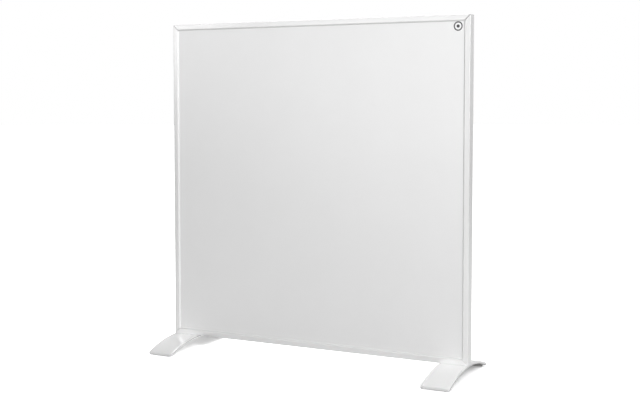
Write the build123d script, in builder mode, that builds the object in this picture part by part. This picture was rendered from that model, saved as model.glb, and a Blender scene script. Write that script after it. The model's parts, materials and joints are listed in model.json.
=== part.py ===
from build123d import *
import os
from math import cos, radians, sin, sqrt

os.makedirs("parts", exist_ok=True)

# Free-standing infrared panel heater.
# Millimetres, +Z up. The origin is on the floor, midway between the two feet.
# The heating face looks along -Y; the wiring side looks along +Y.

# ---------------------------------------------------------------- dimensions
PANEL_W = 600.0          # over the frame, X
PANEL_H = 600.0          # over the frame, Z
PANEL_D = 20.0           # frame depth, Y
LIFT = 24.0              # underside of the frame above the floor
YF = -PANEL_D / 2        # front of the frame
YR = PANEL_D / 2         # rear of the frame
ZC = LIFT + PANEL_H / 2  # middle of the panel
HALF = PANEL_W / 2

# frame extrusion, d = distance in from the outer edge
WALL = 1.4               # outer wall
LIP = 11.2               # how far the front lip reaches in
BEVEL = 2.0              # width of the sloping inner edge of the lip
STEP = 2.2               # lip stands this far proud of the heating face
REAR_LIP = 8.8           # how far the rear lip reaches in
CHAMBER = 9.2            # inner face of the closed key chamber
MITRE_GAP = 0.22         # each mitre face is set back by this much
GROOVE_W, GROOVE_D = 1.0, 1.7   # shadow groove on the front of each mitre

# sheets and layers, front to rear, as y of the front face of each
Y_FRONT = YF + STEP      # heating face
T_FRONT = 0.8
T_MICA = 0.4
T_FILM = 0.2
T_BUS = 0.2
T_FOIL = 0.15
T_BACK = 0.6
Y_BACK = 7.9             # front face of the back sheet
SHEET_HALF = HALF - 2.2  # sheets run into the slots, 0.8 clear of the wall
CORE_HALF = HALF - 10.0  # layers between the sheets

# corner keys
KEY_LEG = 54.0           # from the outer edge of the frame
KEY_D0, KEY_D1 = 1.6, 7.8
KEY_Y0, KEY_Y1 = -5.5, 6.45
KEY_SCREW_IN = 30.0      # key screws from the outer edge
KEY_SCREW_D = 4.7        # and this far in from it
KEY_SCREW_R = 1.6

# feet
FOOT_W = 50.0
FOOT_L = 200.0
FOOT_T = 4.0
FOOT_OUT = 299.0         # outer edge of each foot, X
FOOT_LAND = 0.2          # depth of the flat land under the frame
PAD_T = 1.2              # height of the foot's lower corner above the floor
FOOT_SCREW_X = (262.0, 287.0)
FOOT_SCREW_Y = 0.45
FOOT_SCREW_R = 2.0

# wall inserts, on a rectangle
INSERT_PITCH_X = 400.0
INSERT_PITCH_Z = 350.0
INSERT_R = 2.5           # M5

# rear connection box
BOX_W, BOX_H = 130.0, 60.0
BOX_Z = 116.0
BOX_T = 2.2
BOX_R = 6.0
BOX_FLOOR = 2.0
Y_BOX = Y_BACK + T_BACK  # 8.5, rear face of the back sheet
Y_RIM = 34.0
GASKET_T = 1.0
Y_LID = Y_RIM + GASKET_T
Y_TOP = 39.0
LID_SCREW_X, LID_SCREW_Z = 57.5, 22.5
BORE_X, BORE_Z, BORE_R = 5.0, BOX_Z, 7.0    # wire grommet
STUD_X, STUD_Z = 5.0, 96.5                  # earth stud
GLAND_X, GLAND_Y = -28.0, 22.0              # cord gland, pointing down
CORD_BORE_R = 3.6

# rocker switch
SW_X, SW_Z = 32.0, BOX_Z
SW_BODY_X, SW_BODY_Z = 14.6, 22.0
SW_BEZEL_X, SW_BEZEL_Z, SW_BEZEL_T = 17.6, 25.0, 1.4
PIVOT_Y = 38.2
ROCKER_R = 8.8
ROCKER_TILT = 10.0       # each side of the middle
PIN_R = 1.0

# insulated wire
WIRE_R = 1.1
TRACK_Y = 3.5            # wires inside the insulation


def at_y(y):
    """Sketch plane facing the front at depth y: local x is X, local y is Z."""
    return Plane.XZ.offset(-y)


def save(builder, name):
    builder.part.label = name
    export_step(builder.part, f"parts/{name}.step")


# ------------------------------------------------------------- frame members
# Each side is the same extrusion: a domed front lip with a sloping inner
# edge, a slot for the heating face, a closed chamber for the corner keys, a
# slot for the back sheet and a flat rear lip.
SIDES = {
    #                 origin on the outer edge, inward direction, run direction
    "frame_bottom": ((0, 0, LIFT), (0, 0, 1), (-1, 0, 0)),
    "frame_top": ((0, 0, LIFT + PANEL_H), (0, 0, -1), (1, 0, 0)),
    "frame_left": ((-HALF, 0, ZC), (1, 0, 0), (0, 0, 1)),
    "frame_right": ((HALF, 0, ZC), (-1, 0, 0), (0, 0, -1)),
}
MITRE = MITRE_GAP * sqrt(2)
for side, (origin, inward, run) in SIDES.items():
    outer_edge = Plane(origin=origin, x_dir=inward, z_dir=run)
    with BuildPart() as member:
        with BuildSketch(outer_edge):
            with BuildLine():
                ThreePointArc((0, -9.06), (0.176, -9.484), (0.6, -9.66))
                ThreePointArc((0.6, -9.66), (4.7, -9.89), (8.7, YF))
                ThreePointArc((8.7, YF), (9.0, -9.93), (9.2, -9.78))
                Polyline(
                    (9.2, -9.78),
                    (LIP, Y_FRONT - 0.45),
                    (LIP, Y_FRONT),
                    (WALL, Y_FRONT),
                    (WALL, -6.9),
                    (CHAMBER, -6.9),
                    (CHAMBER, 7.85),
                    (WALL, 7.85),
                    (WALL, 8.55),
                    (REAR_LIP, 8.55),
                    (REAR_LIP, YR - 0.3),
                    (REAR_LIP - 0.3, YR),
                    (0.9, YR),
                )
                ThreePointArc((0.9, YR), (0.26, YR - 0.26), (0, YR - 0.9))
                Line((0, YR - 0.9), (0, -9.06))
            make_face()
            with Locations(((WALL + 8.0) / 2, (-5.7 + 6.65) / 2)):
                Rectangle(8.0 - WALL, 12.35, mode=Mode.SUBTRACT)
        extrude(amount=HALF, both=True)
        # 45 degree cuts at both ends
        o, i, r = Vector(*origin), Vector(*inward), Vector(*run)
        for end in (1, -1):
            cut_at = o + r * (end * (HALF - MITRE))
            split(bisect_by=Plane(origin=cut_at, z_dir=r * end + i), keep=Keep.BOTTOM)
            # narrow shadow groove along the joint, on the front of the lip
            corner = o + r * (end * HALF) + Vector(0, YF, 0)
            with BuildSketch(Plane(origin=corner, x_dir=(0, 1, 0), z_dir=i - r * end)):
                with Locations(((GROOVE_D - 0.5) / 2, 0)):
                    Rectangle(GROOVE_D + 0.5, GROOVE_W)
            extrude(amount=20, both=True, mode=Mode.SUBTRACT)
        # key screws go in from the rear, through lip, slot and chamber wall
        with BuildSketch(Plane(origin=(0, YR, 0), x_dir=(1, 0, 0), z_dir=(0, -1, 0))):
            for end in (1, -1):
                at = o + r * (end * (HALF - KEY_SCREW_IN)) + i * KEY_SCREW_D
                with Locations((at.X, at.Z)):
                    Circle(KEY_SCREW_R + 0.1)
        extrude(amount=YR - 6.0, mode=Mode.SUBTRACT)
        with BuildSketch(at_y(YR)):
            for end in (1, -1):
                at = o + r * (end * (HALF - KEY_SCREW_IN)) + i * KEY_SCREW_D
                with Locations((at.X, at.Z)):
                    Circle(3.1)
        extrude(amount=1.2, taper=38, mode=Mode.SUBTRACT)
        if side == "frame_bottom":
            with BuildSketch(Plane.XY.offset(LIFT)):
                with Locations(*[(s * x, FOOT_SCREW_Y) for s in (1, -1) for x in FOOT_SCREW_X]):
                    Circle(FOOT_SCREW_R + 0.15)
            extrude(amount=WALL, mode=Mode.SUBTRACT)
    save(member, side)

# ---------------------------------------------------------------- corner keys
KEYS = {
    "corner_key_bottom_right": (1, -1),
    "corner_key_bottom_left": (-1, -1),
    "corner_key_top_right": (1, 1),
    "corner_key_top_left": (-1, 1),
}
for key_name, (sx, sz) in KEYS.items():
    cx, cz = sx * HALF, ZC + sz * PANEL_H / 2
    with BuildPart() as key:
        with BuildSketch(at_y(KEY_Y1)):
            with BuildLine():
                Polyline(
                    (cx - sx * KEY_D0, cz - sz * KEY_D0),
                    (cx - sx * KEY_LEG, cz - sz * KEY_D0),
                    (cx - sx * KEY_LEG, cz - sz * KEY_D1),
                    (cx - sx * KEY_D1, cz - sz * KEY_D1),
                    (cx - sx * KEY_D1, cz - sz * KEY_LEG),
                    (cx - sx * KEY_D0, cz - sz * KEY_LEG),
                    close=True,
                )
            make_face()
        extrude(amount=KEY_Y1 - KEY_Y0)
        # tapped holes for the rear key screws
        with BuildSketch(at_y(KEY_Y1)):
            with Locations(
                (cx - sx * KEY_SCREW_IN, cz - sz * KEY_SCREW_D),
                (cx - sx * KEY_SCREW_D, cz - sz * KEY_SCREW_IN),
            ):
                Circle(KEY_SCREW_R + 0.04)
        extrude(amount=9.0, mode=Mode.SUBTRACT)
        if sz < 0:
            # tapped holes for the foot screws
            with BuildSketch(Plane.XY.offset(LIFT)):
                with Locations(*[(sx * x, FOOT_SCREW_Y) for x in FOOT_SCREW_X]):
                    Circle(FOOT_SCREW_R + 0.04)
            extrude(amount=12.0, mode=Mode.SUBTRACT)
    save(key, key_name)

with BuildPart() as corner_screws:
    spots = []
    for sx, sz in KEYS.values():
        cx, cz = sx * HALF, ZC + sz * PANEL_H / 2
        spots += [
            (cx - sx * KEY_SCREW_IN, cz - sz * KEY_SCREW_D),
            (cx - sx * KEY_SCREW_D, cz - sz * KEY_SCREW_IN),
        ]
    with BuildSketch(at_y(YR)):
        with Locations(*spots):
            Circle(3.0)
    extrude(amount=1.1, taper=40)
    with BuildSketch(at_y(YR)):
        with Locations(*spots):
            Circle(KEY_SCREW_R)
    extrude(amount=12.0)
    # cross recess
    with BuildSketch(at_y(YR)):
        with Locations(*spots):
            Rectangle(3.0, 0.7, rotation=45)
        with Locations(*spots):
            Rectangle(0.7, 3.0, rotation=45)
    extrude(amount=1.3, mode=Mode.SUBTRACT)
save(corner_screws, "corner_screws")

# ------------------------------------------------------------ heating sandwich
with BuildPart() as front_panel:
    with BuildSketch(at_y(Y_FRONT + T_FRONT)):
        with Locations((0, ZC)):
            Rectangle(2 * SHEET_HALF, 2 * SHEET_HALF)
    extrude(amount=T_FRONT)
save(front_panel, "front_panel")

Y_MICA1 = Y_FRONT + T_FRONT
with BuildPart() as mica_front:
    with BuildSketch(at_y(Y_MICA1 + T_MICA)):
        with Locations((0, ZC)):
            Rectangle(2 * CORE_HALF, 2 * CORE_HALF)
    extrude(amount=T_MICA)
save(mica_front, "mica_front")

Y_FILM = Y_MICA1 + T_MICA
with BuildPart() as heating_film:
    with BuildSketch(at_y(Y_FILM + T_FILM)):
        with Locations((0, ZC)):
            Rectangle(2 * CORE_HALF - 8, 2 * CORE_HALF - 8)
        # the carbon layer is slit into strips between the two bus bars
        with GridLocations(0, 40, 1, 13):
            with Locations((0, ZC)):
                SlotOverall(520, 3, mode=Mode.SUBTRACT)
    extrude(amount=T_FILM)
save(heating_film, "heating_film")

Y_BUS = Y_FILM + T_FILM
BUS_X, BUS_W, BUS_H = 281.0, 9.0, 552.0
for bus_name, sx in (("bus_bar_left", -1), ("bus_bar_right", 1)):
    with BuildPart() as bus:
        with BuildSketch(at_y(Y_BUS + T_BUS)):
            with Locations((sx * BUS_X, ZC)):
                Rectangle(BUS_W, BUS_H)
        extrude(amount=T_BUS)
    save(bus, bus_name)

Y_MICA2 = Y_BUS + T_BUS
WIRE_HOLES = [(-BUS_X, BOX_Z), (BUS_X, BOX_Z + 3)]
with BuildPart() as mica_rear:
    with BuildSketch(at_y(Y_MICA2 + T_MICA)):
        with Locations((0, ZC)):
            Rectangle(2 * CORE_HALF, 2 * CORE_HALF)
        with Locations(*WIRE_HOLES):
            Circle(1.8, mode=Mode.SUBTRACT)
    extrude(amount=T_MICA)
save(mica_rear, "mica_rear")

Y_FOIL = Y_MICA2 + T_MICA
with BuildPart() as reflector_foil:
    with BuildSketch(at_y(Y_FOIL + T_FOIL)):
        with Locations((0, ZC)):
            Rectangle(2 * CORE_HALF, 2 * CORE_HALF)
        with Locations(*WIRE_HOLES):
            Circle(1.8, mode=Mode.SUBTRACT)
    extrude(amount=T_FOIL)
save(reflector_foil, "reflector_foil")

Y_WOOL = Y_FOIL + T_FOIL
CUT_X, CUT_Z = -130.0, BOX_Z
INSERTS = [
    (sx * INSERT_PITCH_X / 2, ZC + sz * INSERT_PITCH_Z / 2)
    for sx in (1, -1)
    for sz in (1, -1)
]
with BuildPart() as insulation_board:
    with BuildSketch(at_y(Y_BACK)):
        with Locations((0, ZC)):
            Rectangle(2 * CORE_HALF, 2 * CORE_HALF)
        with Locations(*WIRE_HOLES):
            Circle(1.8, mode=Mode.SUBTRACT)
        with Locations((CUT_X, CUT_Z)):
            Circle(10.0, mode=Mode.SUBTRACT)
        with Locations(*INSERTS):
            Circle(7.0, mode=Mode.SUBTRACT)
    extrude(amount=Y_BACK - Y_WOOL)
    # wiring trench, open to the rear
    with BuildSketch(at_y(Y_BACK)):
        with Locations((0, BOX_Z)):
            Rectangle(574, 24)
    extrude(amount=8.4, mode=Mode.SUBTRACT)
save(insulation_board, "insulation_board")

with BuildPart() as back_panel:
    with BuildSketch(at_y(Y_BACK + T_BACK)):
        with Locations((0, ZC)):
            Rectangle(2 * SHEET_HALF, 2 * SHEET_HALF)
        with Locations((BORE_X, BORE_Z)):
            Circle(BORE_R + 0.1, mode=Mode.SUBTRACT)
        with Locations(*INSERTS):
            Circle(3.55, mode=Mode.SUBTRACT)
        with Locations(*spots):
            Circle(KEY_SCREW_R + 0.15, mode=Mode.SUBTRACT)
        with Locations((-40, BOX_Z + 20), (40, BOX_Z + 20), (-47, BOX_Z - 18), (47, BOX_Z - 18)):
            Circle(1.5, mode=Mode.SUBTRACT)
    extrude(amount=T_BACK)
save(back_panel, "back_panel")

# blind-rivet threaded inserts for hanging the panel on a wall
with BuildPart() as wall_inserts:
    with BuildSketch(at_y(Y_BOX + 0.8)):
        with Locations(*INSERTS):
            Circle(5.0)
    extrude(amount=0.8)
    with BuildSketch(at_y(Y_BOX)):
        with Locations(*INSERTS):
            Circle(3.5)
    extrude(amount=10.0)
    with BuildSketch(at_y(Y_BACK - 0.05)):
        with Locations(*INSERTS):
            Circle(4.6)
    extrude(amount=2.0)
    with BuildSketch(at_y(Y_BOX + 0.8)):
        with Locations(*INSERTS):
            Circle(INSERT_R)
    extrude(amount=10.8, mode=Mode.SUBTRACT)
save(wall_inserts, "wall_inserts")

# ------------------------------------------------------------ thermal cut-out
with BuildPart() as cutout_cap:
    with BuildSketch(at_y(Y_WOOL + 1.8)):
        with Locations((CUT_X, CUT_Z)):
            Circle(8.3)
    extrude(amount=1.8)
    with BuildSketch(at_y(Y_WOOL + 3.0)):
        with Locations((CUT_X, CUT_Z)):
            Circle(9.2)
            Circle(7.4, mode=Mode.SUBTRACT)
    extrude(amount=1.2)
save(cutout_cap, "cutout_cap")

with BuildPart() as cutout_body:
    with BuildSketch(at_y(Y_WOOL + 7.2)):
        with Locations((CUT_X, CUT_Z)):
            Circle(7.3)
    extrude(amount=5.35)
    chamfer(cutout_body.edges().sort_by(Axis.Y)[-1], 0.6)
save(cutout_body, "cutout_body")

with BuildPart() as cutout_tabs:
    for s in (1, -1):
        with BuildSketch(at_y(Y_WOOL + 8.0)):
            with Locations((CUT_X + s * 7.0, CUT_Z)):
                Rectangle(10.0, 6.3)
        extrude(amount=0.8)
save(cutout_tabs, "cutout_tabs")

# ------------------------------------------------------------- connection box
with BuildPart() as box_base:
    with BuildSketch(at_y(Y_RIM)):
        with Locations((0, BOX_Z)):
            RectangleRounded(BOX_W, BOX_H, BOX_R)
    extrude(amount=Y_RIM - Y_BOX)
    with BuildSketch(at_y(Y_RIM)):
        with Locations((0, BOX_Z)):
            RectangleRounded(BOX_W - 2 * BOX_T, BOX_H - 2 * BOX_T, BOX_R - BOX_T)
    extrude(amount=Y_RIM - Y_BOX - BOX_FLOOR, mode=Mode.SUBTRACT)
    # screw posts in the corners
    with BuildSketch(at_y(Y_RIM)):
        with Locations((0, BOX_Z)):
            with GridLocations(2 * LID_SCREW_X, 2 * LID_SCREW_Z, 2, 2):
                Circle(4.4)
    extrude(amount=Y_RIM - Y_BOX)
    with BuildSketch(at_y(Y_RIM)):
        with Locations((0, BOX_Z)):
            with GridLocations(2 * LID_SCREW_X, 2 * LID_SCREW_Z, 2, 2):
                Circle(1.45)
    extrude(amount=16.0, mode=Mode.SUBTRACT)
    # floor openings: grommet, earth stud, rivets to the back sheet
    with BuildSketch(at_y(Y_BOX + BOX_FLOOR)):
        with Locations((BORE_X, BORE_Z)):
            Circle(BORE_R + 0.1)
        with Locations((STUD_X, STUD_Z)):
            Circle(8.2)
        with Locations((-40, BOX_Z + 20), (40, BOX_Z + 20), (-47, BOX_Z - 18), (47, BOX_Z - 18)):
            Circle(1.5)
    extrude(amount=BOX_FLOOR, mode=Mode.SUBTRACT)
    # gland hole in the lower wall
    with BuildSketch(Plane.XY.offset(BOX_Z - BOX_H / 2)):
        with Locations((GLAND_X, GLAND_Y)):
            Circle(8.1)
    extrude(amount=BOX_T, mode=Mode.SUBTRACT)
save(box_base, "box_base")

with BuildPart() as box_rivets:
    rivet_spots = [(-40, BOX_Z + 20), (40, BOX_Z + 20), (-47, BOX_Z - 18), (47, BOX_Z - 18)]
    with BuildSketch(at_y(Y_BOX + BOX_FLOOR + 0.9)):
        with Locations(*rivet_spots):
            Circle(2.9)
    extrude(amount=0.9)
    with BuildSketch(at_y(Y_BOX + BOX_FLOOR)):
        with Locations(*rivet_spots):
            Circle(1.45)
    extrude(amount=BOX_FLOOR + T_BACK)
save(box_rivets, "box_rivets")

with BuildPart() as box_gasket:
    with BuildSketch(at_y(Y_LID)):
        with Locations((0, BOX_Z)):
            RectangleRounded(BOX_W - 0.6, BOX_H - 0.6, BOX_R - 0.3)
            RectangleRounded(BOX_W - 4.0, BOX_H - 4.0, BOX_R - 2.0, mode=Mode.SUBTRACT)
    extrude(amount=GASKET_T)
save(box_gasket, "box_gasket")

with BuildPart() as box_cover:
    with BuildSketch(at_y(Y_TOP)):
        with Locations((0, BOX_Z)):
            RectangleRounded(BOX_W, BOX_H, BOX_R)
    extrude(amount=Y_TOP - Y_LID)
    fillet(box_cover.edges().group_by(Axis.Y)[-1], 1.4)
    with BuildSketch(at_y(Y_LID)):
        with Locations((0, BOX_Z)):
            RectangleRounded(BOX_W - 12, BOX_H - 12, 4)
            with GridLocations(2 * LID_SCREW_X, 2 * LID_SCREW_Z, 2, 2):
                Circle(5.0, mode=Mode.SUBTRACT)
    extrude(amount=-1.6, mode=Mode.SUBTRACT)
    with BuildSketch(at_y(Y_TOP)):
        with Locations((SW_X, SW_Z)):
            Rectangle(SW_BODY_X + 0.2, SW_BODY_Z + 0.2)
        with Locations((0, BOX_Z)):
            with GridLocations(2 * LID_SCREW_X, 2 * LID_SCREW_Z, 2, 2):
                Circle(1.7)
    extrude(amount=Y_TOP - Y_LID, mode=Mode.SUBTRACT)
    with BuildSketch(at_y(Y_TOP)):
        with Locations((0, BOX_Z)):
            with GridLocations(2 * LID_SCREW_X, 2 * LID_SCREW_Z, 2, 2):
                Circle(3.2)
    extrude(amount=1.4, taper=42, mode=Mode.SUBTRACT)
save(box_cover, "box_cover")

with BuildPart() as cover_screws:
    lid_spots = [
        (sx * LID_SCREW_X, BOX_Z + sz * LID_SCREW_Z) for sx in (1, -1) for sz in (1, -1)
    ]
    with BuildSketch(at_y(Y_TOP)):
        with Locations(*lid_spots):
            Circle(3.05)
    extrude(amount=1.3, taper=43)
    with BuildSketch(at_y(Y_TOP)):
        with Locations(*lid_spots):
            Circle(1.4)
    extrude(amount=18.0)
    with BuildSketch(at_y(Y_TOP)):
        with Locations(*lid_spots):
            Rectangle(3.0, 0.7)
        with Locations(*lid_spots):
            Rectangle(0.7, 3.0)
    extrude(amount=1.0, mode=Mode.SUBTRACT)
save(cover_screws, "cover_screws")

with BuildPart() as wire_grommet:
    with BuildSketch(at_y(Y_BOX + BOX_FLOOR + 1.4)):
        with Locations((BORE_X, BORE_Z)):
            Circle(8.8)
    extrude(amount=1.4)
    with BuildSketch(at_y(Y_BOX + BOX_FLOOR)):
        with Locations((BORE_X, BORE_Z)):
            Circle(BORE_R)
    extrude(amount=BOX_FLOOR + T_BACK)
    with BuildSketch(at_y(Y_BACK)):
        with Locations((BORE_X, BORE_Z)):
            Circle(8.8)
    extrude(amount=1.2)
    with BuildSketch(at_y(Y_BOX + BOX_FLOOR + 1.4)):
        with Locations((BORE_X, BORE_Z)):
            Circle(5.6)
    extrude(amount=8.0, mode=Mode.SUBTRACT)
save(wire_grommet, "wire_grommet")

with BuildPart() as earth_stud:
    with BuildSketch(at_y(Y_BOX + 9.0)):
        with Locations((STUD_X, STUD_Z)):
            Circle(2.0)
    extrude(amount=9.0)
    chamfer(earth_stud.edges().sort_by(Axis.Y)[-1], 0.4)
save(earth_stud, "earth_stud")

with BuildPart() as earth_ring:
    with BuildSketch(at_y(Y_BOX + 0.8)):
        with Locations((STUD_X, STUD_Z)):
            Circle(4.0)
        with Locations((STUD_X - 4.4, STUD_Z)):
            Rectangle(5.0, 3.0)
        with Locations((STUD_X, STUD_Z)):
            Circle(2.08, mode=Mode.SUBTRACT)
    extrude(amount=0.8)
    with BuildSketch(at_y(Y_BOX + 5.5)):
        with Locations((STUD_X - 6.4, STUD_Z)):
            Circle(1.7)
    extrude(amount=5.5)
save(earth_ring, "earth_ring")

with BuildPart() as earth_nut:
    with BuildSketch(at_y(Y_BOX + 4.0)):
        with Locations((STUD_X, STUD_Z)):
            RegularPolygon(4.04, 6)
            Circle(2.05, mode=Mode.SUBTRACT)
    extrude(amount=3.2)
save(earth_nut, "earth_nut")

# ------------------------------------------------------------- terminal block
TB_X, TB_Y0, TB_Y1, TB_Z = -28.0, Y_BOX + BOX_FLOOR, 24.5, BOX_Z
TB_PITCH = 10.0
TB_ENTRY_Y = 17.5
TB_TOP = TB_Z + 9.0
with BuildPart() as terminal_block:
    with BuildSketch(at_y(TB_Y1)):
        with Locations((TB_X, TB_Z)):
            RectangleRounded(30.0, 18.0, 1.2)
    extrude(amount=TB_Y1 - TB_Y0)
    # sleeve tunnels
    with BuildSketch(Plane.XY.offset(TB_Z - 9.0)):
        with Locations((TB_X, TB_ENTRY_Y)):
            with GridLocations(TB_PITCH, 0, 3, 1):
                Circle(2.6)
    extrude(amount=18.0, mode=Mode.SUBTRACT)
    # screw wells
    with BuildSketch(at_y(TB_Y1)):
        with Locations((TB_X, TB_Z)):
            with GridLocations(TB_PITCH, 9.0, 3, 2):
                Circle(2.2)
    extrude(amount=TB_Y1 - TB_ENTRY_Y, mode=Mode.SUBTRACT)
    # grooves between the poles
    with BuildSketch(at_y(TB_Y1)):
        with Locations((TB_X, TB_Z)):
            with GridLocations(TB_PITCH, 0, 2, 1):
                Rectangle(1.2, 18.0)
    extrude(amount=3.0, mode=Mode.SUBTRACT)
save(terminal_block, "terminal_block")

with BuildPart() as terminal_sleeves:
    with BuildSketch(Plane.XY.offset(TB_Z - 8.0)):
        with Locations((TB_X, TB_ENTRY_Y)):
            with GridLocations(TB_PITCH, 0, 3, 1):
                Circle(2.5)
                Circle(1.4, mode=Mode.SUBTRACT)
    extrude(amount=16.0)
    with BuildSketch(at_y(TB_ENTRY_Y + 4.0)):
        with Locations((TB_X, TB_Z)):
            with GridLocations(TB_PITCH, 9.0, 3, 2):
                Circle(1.3)
    extrude(amount=4.0, mode=Mode.SUBTRACT)
save(terminal_sleeves, "terminal_sleeves")

with BuildPart() as terminal_screws:
    with BuildSketch(at_y(TB_Y1 - 0.8)):
        with Locations((TB_X, TB_Z)):
            with GridLocations(TB_PITCH, 9.0, 3, 2):
                Circle(2.0)
    extrude(amount=1.8)
    with BuildSketch(at_y(TB_Y1 - 2.6)):
        with Locations((TB_X, TB_Z)):
            with GridLocations(TB_PITCH, 9.0, 3, 2):
                Circle(1.25)
    extrude(amount=TB_Y1 - 2.6 - TB_ENTRY_Y - 1.2)
    with BuildSketch(at_y(TB_Y1 - 0.8)):
        with Locations((TB_X, TB_Z)):
            with GridLocations(TB_PITCH, 9.0, 3, 2):
                Rectangle(3.4, 0.6)
    extrude(amount=0.8, mode=Mode.SUBTRACT)
save(terminal_screws, "terminal_screws")

# ----------------------------------------------------------------- cord gland
GZ = BOX_Z - BOX_H / 2   # outer face of the lower wall
with BuildPart() as gland_body:
    with BuildSketch(Plane.XY.offset(GZ - 6.0)):
        with Locations((GLAND_X, GLAND_Y)):
            RegularPolygon(11.5, 6)
    extrude(amount=6.0)
    with BuildSketch(Plane.XY.offset(GZ - 14.0)):
        with Locations((GLAND_X, GLAND_Y)):
            Circle(8.0)
    extrude(amount=14.0 + 7.0)
    with BuildSketch(Plane.XY.offset(GZ - 14.0)):
        with Locations((GLAND_X, GLAND_Y)):
            Circle(6.3)
    extrude(amount=12.0, mode=Mode.SUBTRACT)
    with BuildSketch(Plane.XY.offset(GZ - 14.0)):
        with Locations((GLAND_X, GLAND_Y)):
            Circle(5.0)
    extrude(amount=25.0, mode=Mode.SUBTRACT)
save(gland_body, "gland_body")

with BuildPart() as gland_seal:
    with BuildSketch(Plane.XY.offset(GZ - 17.0)):
        with Locations((GLAND_X, GLAND_Y)):
            Circle(6.2)
            Circle(CORD_BORE_R, mode=Mode.SUBTRACT)
    extrude(amount=14.9)
save(gland_seal, "gland_seal")

with BuildPart() as gland_nut:
    with BuildSketch(Plane.XY.offset(GZ - 6.6)):
        with Locations((GLAND_X, GLAND_Y)):
            RegularPolygon(11.3, 6)
    extrude(amount=-9.0)
    with BuildSketch(Plane.XY.offset(GZ - 15.6)):
        with Locations((GLAND_X, GLAND_Y)):
            Circle(9.6)
    extrude(amount=-4.4, taper=32)
    with BuildSketch(Plane.XY.offset(GZ - 17.1)):
        with Locations((GLAND_X, GLAND_Y)):
            Circle(6.4)
    extrude(amount=12.0, mode=Mode.SUBTRACT)
    with BuildSketch(Plane.XY.offset(GZ - 14.2)):
        with Locations((GLAND_X, GLAND_Y)):
            Circle(8.1)
    extrude(amount=9.0, mode=Mode.SUBTRACT)
    with BuildSketch(Plane.XY.offset(GZ - 22.0)):
        with Locations((GLAND_X, GLAND_Y)):
            Circle(4.1)
    extrude(amount=12.0, mode=Mode.SUBTRACT)
save(gland_nut, "gland_nut")

with BuildPart() as gland_lock_nut:
    with BuildSketch(Plane.XY.offset(GZ + BOX_T)):
        with Locations((GLAND_X, GLAND_Y)):
            RegularPolygon(10.8, 6)
            Circle(8.06, mode=Mode.SUBTRACT)
    extrude(amount=4.0)
save(gland_lock_nut, "gland_lock_nut")

# -------------------------------------------------------------- rocker switch
with BuildPart() as switch_housing:
    with BuildSketch(at_y(Y_TOP)):
        with Locations((SW_X, SW_Z)):
            Rectangle(SW_BODY_X, SW_BODY_Z)
    extrude(amount=13.5)
    with BuildSketch(at_y(Y_TOP + SW_BEZEL_T)):
        with Locations((SW_X, SW_Z)):
            RectangleRounded(SW_BEZEL_X, SW_BEZEL_Z, 1.2)
    extrude(amount=SW_BEZEL_T)
    fillet(switch_housing.edges().group_by(Axis.Y)[-1], 0.5)
    with BuildSketch(at_y(Y_TOP + SW_BEZEL_T)):
        with Locations((SW_X, SW_Z)):
            Rectangle(11.4, 18.8)
    extrude(amount=8.6, mode=Mode.SUBTRACT)
    # pin holes in the long walls
    with BuildSketch(Plane.YZ.offset(SW_X - 6.9)):
        with Locations((PIVOT_Y, SW_Z)):
            Circle(PIN_R + 0.06)
    extrude(amount=13.8, mode=Mode.SUBTRACT)
save(switch_housing, "switch_housing")

# The rocker rests in its off position, tilted to one side of the middle: its
# upper end stands out. Its ends run on a circle about the pivot.
tilt = radians(ROCKER_TILT)
rocker_plane = Plane(
    origin=(SW_X + 5.35, PIVOT_Y, SW_Z),
    x_dir=(0, sin(tilt), cos(tilt)),
    z_dir=(-1, 0, 0),
)
with BuildPart() as rocker:
    with BuildSketch(rocker_plane):
        Circle(ROCKER_R)
        # shallow dished face with a ridge line in the middle
        with BuildLine():
            Polyline((-12, 3.6), (0, 1.9), (12, 3.6), (12, 12), (-12, 12), close=True)
        make_face(mode=Mode.SUBTRACT)
        with Locations((0, -12.5 - 3.6)):
            Rectangle(30, 25, mode=Mode.SUBTRACT)
    extrude(amount=10.7)
    with BuildSketch(rocker_plane.offset(-1.2)):
        Circle(PIN_R)
    extrude(amount=10.7 + 2.4)
save(rocker, "rocker")

with BuildPart() as switch_tabs:
    for dz in (-6.0, 6.0):
        with BuildSketch(at_y(Y_TOP - 13.5)):
            with Locations((SW_X, SW_Z + dz)):
                Rectangle(0.8, 4.8)
        extrude(amount=6.0)
save(switch_tabs, "switch_tabs")

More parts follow.
